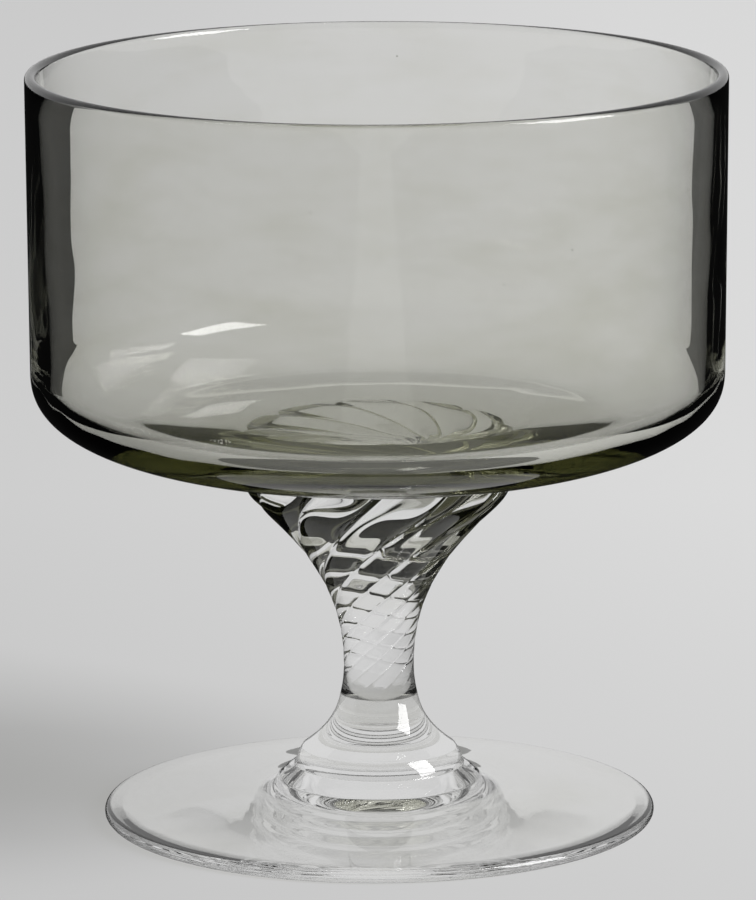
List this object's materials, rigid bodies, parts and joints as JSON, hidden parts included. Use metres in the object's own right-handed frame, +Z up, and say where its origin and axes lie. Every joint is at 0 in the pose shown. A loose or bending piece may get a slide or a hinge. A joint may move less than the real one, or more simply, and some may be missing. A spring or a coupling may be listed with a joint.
{
  "type": "sherbet glass",
  "caption": "Footed dessert glass: wide upright smoke-tinted bowl on a clear flared stem with twisted ribs and a clear round foot.",
  "frame": {"origin": "centre of the ring that the foot rests on", "axes": "+Z up along the glass's axis; X and Y across the foot, which is the same all round"},
  "size_m": [0.092, 0.092, 0.1],
  "materials": {
    "smoke_glass": "fire-polished smoke-tinted glass",
    "clear_glass": "fire-polished clear glass"
  },
  "bodies": {
    "root": {"bowl": "smoke_glass", "stem": "clear_glass", "foot": "clear_glass"}
  },
  "joints": []
}
